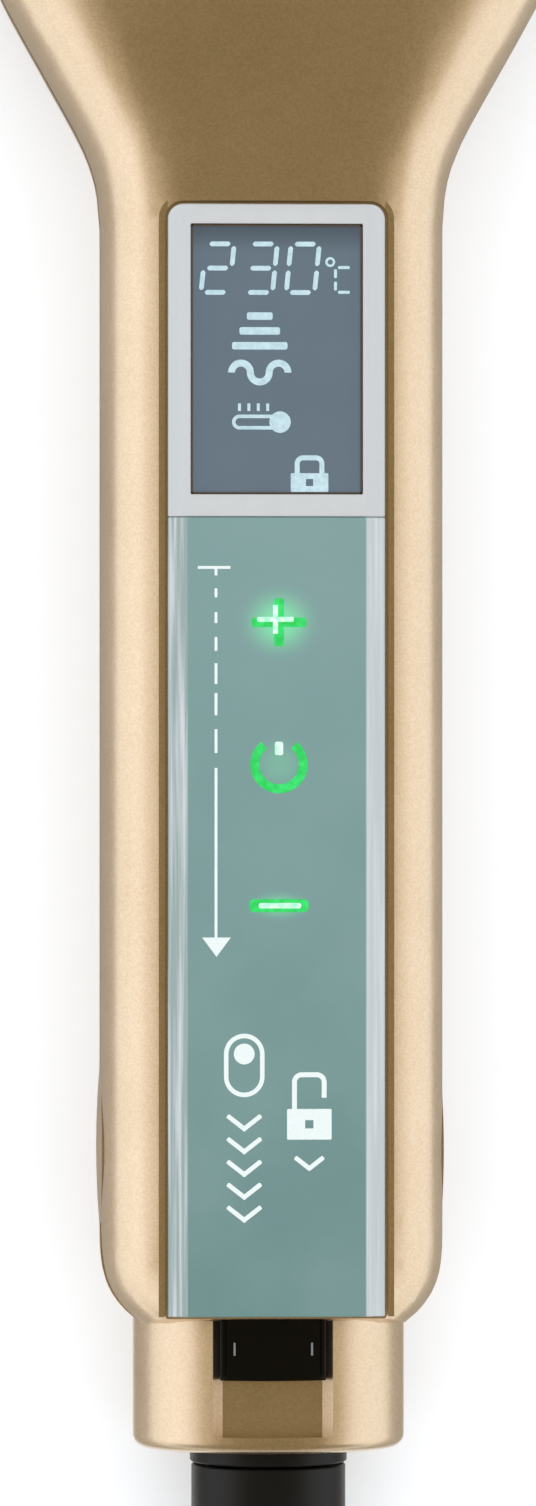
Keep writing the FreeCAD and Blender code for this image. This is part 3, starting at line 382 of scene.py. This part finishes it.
def pearlBezel(settings):
    # pearl lacquer on gloss ABS, a little cooler where the sides slope away: painted shade,
    # standing in for how the light falls on the slopes
    material, tree, shader, place = startMaterial(
        "pearlLacquerOnAbs", Roughness=0.24, Coat_Weight=0.3, Coat_Roughness=0.08)
    x = addNode(tree, "ShaderNodeSeparateXYZ", {"Vector": place}).outputs["X"]
    away = addNode(tree, "ShaderNodeMath", {0: x}, operation="ABSOLUTE").outputs[0]
    edge = remap(tree, away, *settings["shadedSlopes"], 0.0, 1.0)
    face = blend(tree, noise(tree, place, settings["cloud"]), *settings["tints"])
    tree.links.new(blend(tree, edge, face, settings["side"]), shader.inputs["Base Color"])
    return material


window = {"rim": 3.2 * millimetre, "cloud": 6.0, "tints": ("#596974", "#5f6e7b"),
          "shade": "#49545f"}


def slateWindow(settings):
    # tinted display window: grey-blue light filter behind gloss, with a painted shadow of the
    # bezel darkening it towards its edge nearer the jaws
    material, tree, shader, place = startMaterial("tintedAcrylicWindow", Roughness=0.12)
    y = addNode(tree, "ShaderNodeSeparateXYZ", {"Vector": place}).outputs["Y"]
    # painted shadow: darker towards the window's edge nearer the jaws
    run = remap(tree, y, glassHigh.y - settings["rim"], glassHigh.y, 0.0, 1.0, "SMOOTHSTEP")
    field = blend(tree, noise(tree, place, settings["cloud"]), *settings["tints"])
    tree.links.new(blend(tree, run, field, settings["shade"]), shader.inputs["Base Color"])
    return material


keys = {
    # place from the middle line and the hinge, how far the glow spreads, and its strength
    "plus": (0.21, 53.68, 5.8, 5.4, 0.46),
    "power": (0.21, 39.34, 4.4, 4.4, 0.14),
    "minus": (0.21, 25.1, 4.7, 2.3, 0.3),
}
# left, right and streak colour the strip's sloping sides with a painted reflection
strip = {"flatHalf": 9.0 * millimetre, "edge": (-0.06 * millimetre, 0.12 * millimetre),
         "left": "#91a2a2", "right": "#b5bec2", "streak": "#c6cdd4", "streakWidth": 0.4,
         "tail": "#658585", "front": "#779696", "cloud": 11.0, "cloudTint": "#7c9a99",
         "glow": "#2cf273"}


def tealAcrylic(settings):
    # clear acrylic over a sprayed teal back, lit round the keys; its pale sloping sides are a
    # painted reflection, lighter on the right side than on the left
    material, tree, shader, place = startMaterial(
        "backSprayedTealAcrylic", Roughness=0.14, Emission_Strength=1.0)
    apart = addNode(tree, "ShaderNodeSeparateXYZ", {"Vector": place})
    x = apart.outputs["X"]
    run = remap(tree, apart.outputs["Y"], panelLow.y, panelHigh.y, 0.0, 1.0)
    field = blend(tree, run, settings["tail"], settings["front"])
    cloud = noise(tree, place, settings["cloud"])
    field = blend(tree, remap(tree, cloud, 0.35, 0.65, 0.0, 0.35), field, settings["cloudTint"])
    away = addNode(tree, "ShaderNodeMath", {0: x}, operation="ABSOLUTE").outputs[0]
    low, high = (settings["flatHalf"] + step for step in settings["edge"])
    edge = remap(tree, away, low, high, 0.0, 1.0)
    # painted reflection on the sloping sides, lighter on the right, with lighter lengthwise
    # streaks
    paintedSlopeSheen = blend(tree, remap(tree, x, -millimetre, millimetre, 0.0, 1.0),
                 settings["left"], settings["right"])
    lines = addNode(tree, "ShaderNodeMapping", {"Vector": place, "Scale": (1, 0.02, 1)})
    streaks = noise(tree, lines.outputs["Vector"], settings["streakWidth"])
    paintedSlopeSheen = blend(tree, remap(tree, streaks, 0.45, 0.7, 0, 1), paintedSlopeSheen, settings["streak"])
    tree.links.new(blend(tree, edge, field, paintedSlopeSheen), shader.inputs["Base Color"])
    glow = 0.0
    for keyX, keyY, spreadX, spreadY, strength in keys.values():
        centre = (keyX * millimetre, hingeY + keyY * millimetre, 0)
        offset = addNode(tree, "ShaderNodeVectorMath", {0: place, 1: centre},
                         operation="SUBTRACT")
        scaled = addNode(tree, "ShaderNodeVectorMath",
                         {0: offset.outputs["Vector"],
                          1: (perMillimetre(spreadX), perMillimetre(spreadY), 0)},
                         operation="MULTIPLY")
        reach = addNode(tree, "ShaderNodeVectorMath", {0: scaled.outputs["Vector"]},
                        operation="LENGTH").outputs["Value"]
        near = remap(tree, reach, 0.0, 1.0, 1.0, 0.0, "SMOOTHERSTEP")
        sharp = addNode(tree, "ShaderNodeMath", {0: near, 1: 2.0}, operation="POWER")
        glow = addNode(tree, "ShaderNodeMath", {0: sharp.outputs[0], 1: strength, 2: glow},
                       operation="MULTIPLY_ADD").outputs[0]
    tree.links.new(blend(tree, glow, "#000000", settings["glow"]),
                   shader.inputs["Emission Color"])
    return material


def lit(name, dark, light, strength, size):
    # back-lit film: the lamp behind makes some parts of the shape brighter than others
    material, tree, shader, place = startMaterial(name, Roughness=0.3,
                                                  Emission_Strength=strength)
    tint = blend(tree, remap(tree, noise(tree, place, size), 0.35, 0.65, 0.0, 1.0), dark, light)
    tree.links.new(tint, shader.inputs["Emission Color"])
    shader.inputs["Base Color"].default_value = linear("#26302c")
    return material


def whiteInk():
    # screen-printed ink: slightly uneven film with a matt face
    material, tree, shader, place = startMaterial("screenPrintedWhiteInk", Roughness=0.5)
    tree.links.new(blend(tree, noise(tree, place, 0.3), "#d2dede", "#e2ecec"),
                   shader.inputs["Base Color"])
    return material


finishes["pale_bezel"] = pearlBezel(bezel)
finishes["slate_glass"] = slateWindow(window)
finishes["teal_panel"] = tealAcrylic(strip)
segmentFilm = lit("litDisplaySegmentFilm", "#bcd9e4", "#d0eaf4", 0.95, 0.6)
keyGreen = lit("greenLitKeyFilm", "#12d555", "#2cf273", 0.9, 0.8)
keyWhite = lit("whiteHotKeyFilm", "#a6ffd2", "#f4fffa", 1.0, 0.7)
ink = whiteInk()

slotOf = {part["node"]: part["material_slot"] for part in frame["record"]["subparts"]}
for name, node in nodes.items():
    for place in node.material_slots:
        place.material = finishes[slotOf[name]]
print("materials made")

# softened copies of crisp moulded parts


def soften(title, name, body, width, material, dissolve=0.5, sharp=25):
    # a merged copy whose sharp edges are rounded a little, in place of the plain node
    mesh = bmesh.new()
    mesh.from_mesh(nodes[name].data)
    mesh.transform(nodes[name].matrix_world)
    bmesh.ops.remove_doubles(mesh, verts=mesh.verts, dist=0.002 * millimetre)
    bmesh.ops.dissolve_limit(mesh, angle_limit=math.radians(dissolve), verts=mesh.verts,
                             edges=mesh.edges)
    crisp = [edge for edge in mesh.edges if len(edge.link_faces) == 2
             and edge.calc_face_angle() > math.radians(sharp)]
    bmesh.ops.bevel(mesh, geom=crisp, offset=width * millimetre, segments=2, profile=0.5,
                    affect="EDGES", material=-1, clamp_overlap=True)
    return makePiece(title, mesh, material, body, (name,))


polished = moulded("polishedBlackAbs", "#030303", "#070707", 0.22, 0.3, 0.004,
                   Specular_IOR_Level=0.25)
soften("touchPanel", "touch_panel", "upper_arm", 0.15, finishes["teal_panel"])
soften("displayBezel", "display_bezel", "upper_arm", 0.15, finishes["pale_bezel"])
soften("lockSlider", "lock_slider", "lock", 0.12, polished)
print("panel, bezel and slider softened")

# thin films: every printed or lit shape is built flat in millimetres


def barShape(width, length, thick, corner=0.0, steps=1):
    shape = bmesh.new()
    bmesh.ops.create_cube(shape, size=1)
    bmesh.ops.scale(shape, vec=(width, length, thick), verts=shape.verts)
    if corner:
        upright = [edge for edge in shape.edges
                   if abs(edge.verts[0].co.z - edge.verts[1].co.z) > thick / 2]
        bmesh.ops.bevel(shape, geom=upright, offset=corner, segments=steps, profile=0.5,
                        affect="EDGES", material=-1)
    return shape


def roundShape(radius, thick, segments=40):
    shape = bmesh.new()
    bmesh.ops.create_cone(shape, cap_ends=True, segments=segments, radius1=radius,
                          radius2=radius, depth=thick)
    return shape


def arcShape(inner, outer, thick, start=0.0, sweep=360.0, steps=40):
    # a flat ring, or a part of one from the start angle, counted from +X
    shape = bmesh.new()
    bmesh.ops.create_grid(shape, x_segments=1, y_segments=1, size=0.5)
    bmesh.ops.scale(shape, vec=(outer - inner, thick, 1), verts=shape.verts)
    bmesh.ops.rotate(shape, matrix=Matrix.Rotation(math.radians(90), 3, "X"), cent=(0, 0, 0),
                     verts=shape.verts)
    bmesh.ops.translate(shape, vec=((inner + outer) / 2, 0, 0), verts=shape.verts)
    bmesh.ops.rotate(shape, matrix=Matrix.Rotation(math.radians(start), 3, "Z"),
                     cent=(0, 0, 0), verts=shape.verts)
    if sweep >= 360:
        bmesh.ops.delete(shape, geom=shape.faces, context="FACES_ONLY")
    parts = list(shape.verts) + list(shape.edges) + list(shape.faces)
    bmesh.ops.spin(shape, geom=parts, cent=(0, 0, 0), axis=(0, 0, 1),
                   angle=math.radians(sweep), steps=steps)
    bmesh.ops.remove_doubles(shape, verts=shape.verts, dist=0.001)
    return shape


def stamp(target, shape, x, y, z, turn=0.0, slant=0.0):
    # puts a finished shape into a larger mesh
    lean = Matrix.Identity(4)
    lean[0][1] = slant
    shape.transform(Matrix.Translation((x, y, z))
                    @ Matrix.Rotation(math.radians(turn), 4, "Z") @ lean)
    carrier = bpy.data.meshes.new("carrier")
    shape.to_mesh(carrier)
    shape.free()
    target.from_mesh(carrier)
    bpy.data.meshes.remove(carrier)


def finishFilm(name, mesh, material, body="upper_arm"):
    # turns millimetres from the hinge into metres in the frame
    mesh.transform(Matrix.Translation((0, hingeY, 0)) @ Matrix.Scale(millimetre, 4))
    return makePiece(name, mesh, material, body)


panelTop = panelHigh.z / millimetre
glassTop = glassHigh.z / millimetre
film = 0.04
glassLevel = glassTop + film / 2
overlap = 0.008  # where two bars cross, one lies this much higher

# display: temperature in slanted segments, heat level and padlock

display = {
    "digits": ((-5.96, "2"), (-1.6, "3"), (2.65, "0")),
    "row": 89.43, "width": 2.86, "height": 4.89, "stroke": 0.48, "gap": 0.78, "slant": 0.1,
    "point": 0.17,                   # how far each segment's corners are cut
    "uprightGap": 0.6,               # share of the gap that an upright segment leaves
}
lights7 = {"0": "abcdef", "2": "abged", "3": "abgcd"}
spots7 = {"a": (0, 0.5, 90), "g": (0, 0, 90), "d": (0, -0.5, 90), "b": (0.5, 0.25, 0),
          "c": (0.5, -0.25, 0), "e": (-0.5, -0.25, 0), "f": (-0.5, 0.25, 0)}


def buildDigits(settings):
    mesh = bmesh.new()
    width, height, stroke = settings["width"], settings["height"], settings["stroke"]
    for centre, digit in settings["digits"]:
        for spot in lights7[digit]:
            across, up, turn = spots7[spot]
            room = settings["gap"] * (1 if turn else settings["uprightGap"])
            length = (width if turn else height / 2) - room
            shape = barShape(stroke, length, film, settings["point"])
            shape.transform(Matrix.Rotation(math.radians(turn), 4, "Z"))
            shape.transform(Matrix.Translation((across * width, up * height, 0)))
            stamp(mesh, shape, centre, settings["row"], glassLevel, slant=settings["slant"])
    return mesh


unitMark = {"ring": (5.42, 90.07, 0.26, 0.5), "letter": (6.68, 88.27), "width": 1.45,
            "height": 2.5, "stroke": 0.3, "corner": 0.08, "flatGap": 0.25, "flatShift": 0.12,
            "uprightGap": 0.35}


def addUnit(mesh, settings):
    # the degree ring and the segments of its scale
    x, y, inner, outer = settings["ring"]
    stamp(mesh, arcShape(inner, outer, film, steps=24), x, y, glassLevel)
    x, y = settings["letter"]
    width, height, stroke = settings["width"], settings["height"], settings["stroke"]
    corner = settings["corner"]
    for up in (-0.5, 0.5):
        stamp(mesh, barShape(width - settings["flatGap"], stroke, film, corner),
              x + settings["flatShift"], y + up * height, glassLevel)
        stamp(mesh, barShape(stroke, height / 2 - settings["uprightGap"], film, corner),
              x - width / 2, y + up * height / 2, glassLevel)


levelMark = {
    "x": -1.7, "level": ((84.6, 2.6), (83.1, 4.1), (81.6, 5.6)), "thick": 0.75, "corner": 0.2,
    "wave": (78.9, 0.95, 0.7, 3),    # row, radius, stroke and number of half turns
    "tube": (73.9, 5.6, 1.5), "bore": 0.8, "bulb": 0.72,
    "scale": (75.4, 0.95, 4), "scaleMark": (0.3, 0.75),
}


def addLevelMark(mesh, settings):
    # heat level: growing bars, a wave and a lying thermometer with its scale
    x = settings["x"]
    for row, width in settings["level"]:
        stamp(mesh, barShape(width, settings["thick"], film, settings["corner"], 3), x, row,
              glassLevel)
    row, radius, stroke, count = settings["wave"]
    for step in range(count):
        stamp(mesh, arcShape(radius - stroke / 2, radius + stroke / 2, film,
                             180.0 * (step % 2), 180, 20),
              x + (step - (count - 1) / 2) * radius * 2, row, glassLevel)
    row, length, width = settings["tube"]
    half = (length - width) / 2
    for sign in (-1, 1):
        stamp(mesh, barShape(length - width, (width - settings["bore"]) / 2, film), x,
              row + sign * (width + settings["bore"]) / 4, glassLevel)
    stamp(mesh, arcShape(settings["bore"] / 2, width / 2, film, 90, 180, 16), x - half, row,
          glassLevel)
    stamp(mesh, roundShape(width * settings["bulb"], film), x + half, row, glassLevel)
    row, pitch, count = settings["scale"]
    for step in range(count):
        stamp(mesh, barShape(*settings["scaleMark"], film), x - half + step * pitch, row,
              glassLevel)


padlock = {"x": 3.33, "bodyTop": 68.75, "bodyLow": 66.86, "half": 1.9, "outer": 1.5,
           "width": 0.5, "round": 0.85, "rise": 1.8, "hole": 0.36}
bodyCorner = 0.12
freeLeg = 0.75  # how much of the lift an open shackle's free leg rises


def addPadlock(mesh, settings, level, spread=0.0):
    # closed padlock; spread lifts the shackle out and leaves one leg free
    x = settings["x"]
    top, low = settings["bodyTop"], settings["bodyLow"]
    half, hole = settings["half"], settings["hole"]
    middle = (top + low) / 2
    side = half - hole
    for sign in (-1, 1):
        stamp(mesh, barShape(side, top - low, film, bodyCorner, 3),
              x + sign * (hole + side / 2), middle, level)
        stamp(mesh, barShape(hole * 2, (top - low) / 2 - hole, film), x,
              middle + sign * (hole + ((top - low) / 2 - hole) / 2), level)
    outer, width, bend = settings["outer"], settings["width"], settings["round"]
    crown = top + settings["rise"] + spread
    stamp(mesh, barShape((outer - bend) * 2, width, film), x, crown - width / 2, level)
    for sign, start in ((1, 0), (-1, 90)):
        stamp(mesh, arcShape(bend - width, bend, film, start, 90, 12),
              x + sign * (outer - bend), crown - bend, level)
        foot = top if sign < 0 else top + spread * freeLeg
        leg = crown - bend - foot
        stamp(mesh, barShape(width, leg, film), x + sign * (outer - width / 2), foot + leg / 2,
              level)


displayMesh = buildDigits(display)
addUnit(displayMesh, unitMark)
addLevelMark(displayMesh, levelMark)
addPadlock(displayMesh, padlock, glassLevel)
finishFilm("displaySegments", displayMesh, segmentFilm)

# painted reflection: a brown line where the window's recessed walls would mirror the gold casing
windowEdgeReflection = {"half": 8.62, "low": 66.68, "high": 93.82, "width": 0.16, "thick": 0.1}


def buildWindowEdgeReflection(settings):
    # a dark brown line round the window: painted reflection of the gold casing in the window's
    # recessed walls
    mesh = bmesh.new()
    middle = (settings["low"] + settings["high"]) / 2
    length = settings["high"] - settings["low"]
    level = glassTop + settings["thick"] / 2
    for sign in (-1, 1):
        stamp(mesh, barShape(settings["width"], length, settings["thick"]),
              sign * (settings["half"] - settings["width"] / 2), middle, level)
        stamp(mesh, barShape(settings["half"] * 2, settings["width"], settings["thick"]), 0,
              middle + sign * (length - settings["width"]) / 2, level)
    return mesh


# painted reflection: brown tones for the gold seen in the window's walls
windowEdgeReflectionTone = moulded("paintedGoldReflectionLine", "#4a4038", "#5d5044", 0.6, 0.3, 0.01)
finishFilm("windowEdgeReflectionLine", buildWindowEdgeReflection(windowEdgeReflection), windowEdgeReflectionTone)
print("display built")

# touch strip: lit keys and the printed slide guide

cross = {"size": (5.5, 4.8, 0.95), "core": (3.7, 2.9, 0.5), "coreShift": (-0.36, 0.3)}
power = {"outer": 2.9, "inner": 2.0, "gap": 38.0, "bar": (0.85, 1.35), "barRise": 1.62,
         "corner": 0.2}
minus = {"size": (6.0, 1.3), "corner": 0.5, "core": (4.3, 0.55), "coreCorner": 0.25,
         "coreShift": 0.1}


def addCross(mesh, x, y, level, width, height, stroke):
    stamp(mesh, barShape(width, stroke, film, stroke * 0.3, 3), x, y, level)
    arm = (height - stroke) / 2
    for sign in (-1, 1):
        stamp(mesh, barShape(stroke, arm, film, stroke * 0.15, 3), x,
              y + sign * (stroke + arm) / 2, level)


keyLevel = panelTop + film / 2
coreLevel = keyLevel + film
greenMesh = bmesh.new()
whiteMesh = bmesh.new()
plusX, plusY = keys["plus"][:2]
addCross(greenMesh, plusX, plusY, keyLevel, *cross["size"])
addCross(whiteMesh, plusX + cross["coreShift"][0], plusY + cross["coreShift"][1], coreLevel,
         *cross["core"])
powerX, powerY = keys["power"][:2]
stamp(greenMesh, arcShape(power["inner"], power["outer"], film, 90 + power["gap"],
                          360 - 2 * power["gap"], 48), powerX, powerY, keyLevel)
stamp(whiteMesh, barShape(*power["bar"], film, power["corner"], 3), powerX,
      powerY + power["barRise"], keyLevel)
minusX, minusY = keys["minus"][:2]
stamp(greenMesh, barShape(*minus["size"], film, minus["corner"], 5), minusX, minusY, keyLevel)
stamp(whiteMesh, barShape(*minus["core"], film, minus["coreCorner"], 4),
      minusX + minus["coreShift"], minusY, coreLevel)
finishFilm("keySymbols", greenMesh, keyGreen)
finishFilm("keyHotSpots", whiteMesh, keyWhite)

guide = {
    "x": -6.15, "stroke": 0.29, "bar": (-6.34, 59.21, 3.3), "stub": (58.4, 59.06),
    "dashes": ((56.2, 57.1), (53.6, 54.7), (50.8, 52.2), (47.45, 49.55), (44.3, 46.55),
               (40.5, 42.9), (21.9, 39.0)),
    "head": (21.9, 2.9, 1.95), "headShift": 0.05,
}


def buildGuide(settings):
    mesh = bmesh.new()
    x, stroke = settings["x"], settings["stroke"]
    barX, barY, barWidth = settings["bar"]
    stamp(mesh, barShape(barWidth, stroke, film), barX, barY, keyLevel)
    for low, high in (settings["stub"],) + settings["dashes"]:
        stamp(mesh, barShape(stroke, high - low, film), x, (low + high) / 2, keyLevel)
    headY, headWidth, headLength = settings["head"]
    shape = roundShape(1.0, film, 3)
    shape.transform(Matrix.Rotation(math.radians(180), 4, "Z"))
    spans = [[vert.co[axis] for vert in shape.verts] for axis in (0, 1)]
    wide, long = (max(span) - min(span) for span in spans)
    shape.transform(Matrix.Diagonal((headWidth / wide, headLength / long, 1, 1)))
    drop = max(vert.co.y for vert in shape.verts)
    stamp(mesh, shape, x + settings["headShift"], headY - drop, keyLevel)
    return mesh


finishFilm("slideGuidePrint", buildGuide(guide), ink)

marks = {
    "stroke": 0.46,
    "track": (-3.3, 9.0, 4.6, 4.1),          # x, place, length and width of the slot sign
    "knob": 1.05,
    "chevrons": (-3.3, 3.2, 2.3, 5, 4.0),    # x, first place, pitch, count and width
    "lock": {"x": 3.27, "bodyTop": 4.6, "bodyLow": 1.5, "half": 2.25, "outer": 1.75,
             "width": 0.5, "round": 1.0, "rise": 2.2, "hole": 0.42},
    "lift": 1.5,
    "tail": (3.27, -0.9, 3.4),
}
# length and offset are shares of a chevron's width
chevronArm = {"length": 0.6, "offset": 0.19, "turn": 52, "corner": 0.1}


def addChevron(mesh, x, y, width, stroke):
    for sign in (-1, 1):
        stamp(mesh, barShape(stroke, width * chevronArm["length"], film, chevronArm["corner"]),
              x + sign * width * chevronArm["offset"], y, keyLevel + max(sign, 0) * overlap,
              turn=-sign * chevronArm["turn"])


def buildMarks(settings):
    # signs for sliding the lock back: slot and knob, chevrons and an open padlock
    mesh = bmesh.new()
    stroke = settings["stroke"]
    x, y, length, width = settings["track"]
    radius = width / 2
    for sign, start in ((1, 0), (-1, 180)):
        stamp(mesh, arcShape(radius - stroke, radius, film, start, 180, 20), x,
              y + sign * length / 4, keyLevel)
        stamp(mesh, barShape(stroke, length / 2, film), x + sign * (radius - stroke / 2), y,
              keyLevel)
    stamp(mesh, roundShape(settings["knob"], film), x, y + length / 4, keyLevel)
    x, y, pitch, count, width = settings["chevrons"]
    for step in range(count):
        addChevron(mesh, x, y - step * pitch, width, stroke)
    addPadlock(mesh, settings["lock"], keyLevel, settings["lift"])
    addChevron(mesh, *settings["tail"], stroke)
    return mesh


finishFilm("lockSigns", buildMarks(marks), ink)
print("touch strip printed")

# lock slider: grip rails and two small painted highlights, grey marks standing in for light
# caught on the ends of a grip rib

sliderMiddle = (sliderLow.y + sliderHigh.y) / 2 / millimetre - hingeY / millimetre
sliderLength = (sliderHigh.y - sliderLow.y) / millimetre
sliderTop = sliderHigh.z / millimetre
grip = {
    "rail": (5.02, 0.3, 0.5), "railTop": sliderTop - 0.55, "railCorner": 0.1, "inset": 0.9,
    # glint marks are painted highlights: grey bars where the side light would catch a grip rib's
    # ends
    "glint": (3.95, 0.2, 1.3), "glintPlace": -20.2, "glintTop": sliderTop - 0.33,
    "glintThick": 0.2,
}


def buildRails(settings):
    mesh = bmesh.new()
    x, width, height = settings["rail"]
    for sign in (-1, 1):
        stamp(mesh, barShape(width, sliderLength - settings["inset"], height,
                             settings["railCorner"], 2),
              sign * x, sliderMiddle, settings["railTop"] - height / 2)
    return mesh


# painted highlights: two grey bars on the slider's top
def buildPaintedGlints(settings):
    mesh = bmesh.new()
    x, width, length = settings["glint"]
    for sign in (-1, 1):
        stamp(mesh, barShape(width, length, settings["glintThick"]), sign * x,
              settings["glintPlace"], settings["glintTop"])
    return mesh


finishFilm("sliderRails", buildRails(grip), polished, "lock")
finishFilm("sliderPaintedGlints", buildPaintedGlints(grip), moulded(
    "paintedGripGlintGrey", "#6f7274", "#85888a", 0.5, 0.3, 0.0), "lock")
print("slider detailed")
